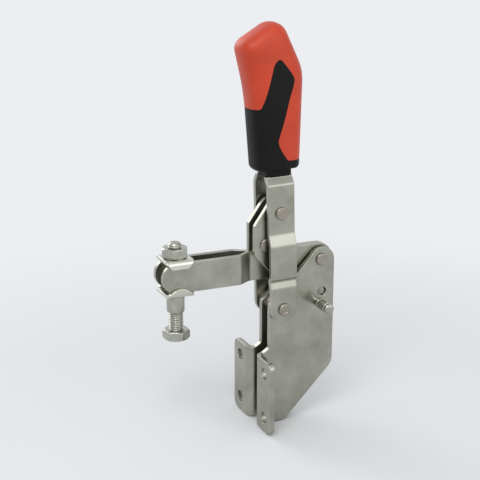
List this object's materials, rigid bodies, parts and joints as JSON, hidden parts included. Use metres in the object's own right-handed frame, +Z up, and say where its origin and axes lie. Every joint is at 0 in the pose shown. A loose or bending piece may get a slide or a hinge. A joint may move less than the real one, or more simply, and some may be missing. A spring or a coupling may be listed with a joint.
{
  "type": "toggle clamp",
  "caption": "Vertical toggle clamp with folded flanges, a slotted bar arm carrying a hexagon clamping screw, and an upright two-colour grip.",
  "frame": {"origin": "middle of the four flange holes on the face that is bolted down", "axes": "+X from the arm's tip towards the back, away from the mounting face; +Z up along the closed handle; Y across, near side towards -Y"},
  "size_m": [0.1048, 0.048, 0.2241],
  "materials": {
    "zinc_plate": "bright zinc plated sheet steel",
    "rivet_steel": "turned steel, dull",
    "screw_steel": "zinc plated fastener steel",
    "red_grip": "moulded red plastic, satin",
    "dark_inlay": "soft dark overmould, fine grain"
  },
  "bodies": {
    "frame": {"frame_plate_near": "zinc_plate", "frame_plate_far": "zinc_plate", "arm_pivot_rivet": "rivet_steel", "arm_pivot_bush_near": "rivet_steel", "arm_pivot_bush_far": "rivet_steel", "handle_pivot_rivet": "rivet_steel", "handle_pivot_spacer": "rivet_steel", "handle_pivot_washer_near": "rivet_steel", "handle_pivot_washer_far": "rivet_steel", "side_stud": "screw_steel"},
    "arm": {"arm_rail_near": "zinc_plate", "arm_rail_far": "zinc_plate", "link_arm_rivet": "rivet_steel", "clamping_screw": "screw_steel", "lock_nut": "screw_steel", "threaded_collar": "screw_steel", "upper_saddle_washer": "zinc_plate", "lower_saddle_washer": "zinc_plate"},
    "link": {"link_plate_near": "zinc_plate", "link_plate_far": "zinc_plate", "stop_rivet": "rivet_steel"},
    "handle": {"handle_plate_near": "zinc_plate", "handle_plate_far": "zinc_plate", "handle_link_rivet_near": "rivet_steel", "handle_link_rivet_far": "rivet_steel", "grip_body": "red_grip", "grip_inlay": "dark_inlay"}
  },
  "joints": [
    {"name": "handle_swing", "type": "hinge", "parent": "frame", "child": "handle", "pos_m": [0.0145, 0, 0.047], "axis": [0, 1, 0], "range_deg": [0, 58]},
    {"name": "arm_swing", "type": "hinge", "parent": "frame", "child": "arm", "pos_m": [0.0395, 0, 0.0715], "axis": [0, 1, 0], "range_deg": [0, 80.62]},
    {"name": "link_swing", "type": "hinge", "parent": "arm", "child": "link", "pos_m": [0.0161, 0, 0.0715], "axis": [0, 1, 0], "range_deg": [0, 51.5]}
  ],
  "couplings": [
    {"joint": "arm_swing", "follows": "handle_swing", "ratio": 1.39},
    {"joint": "link_swing", "follows": "handle_swing", "ratio": 0.888}
  ]
}
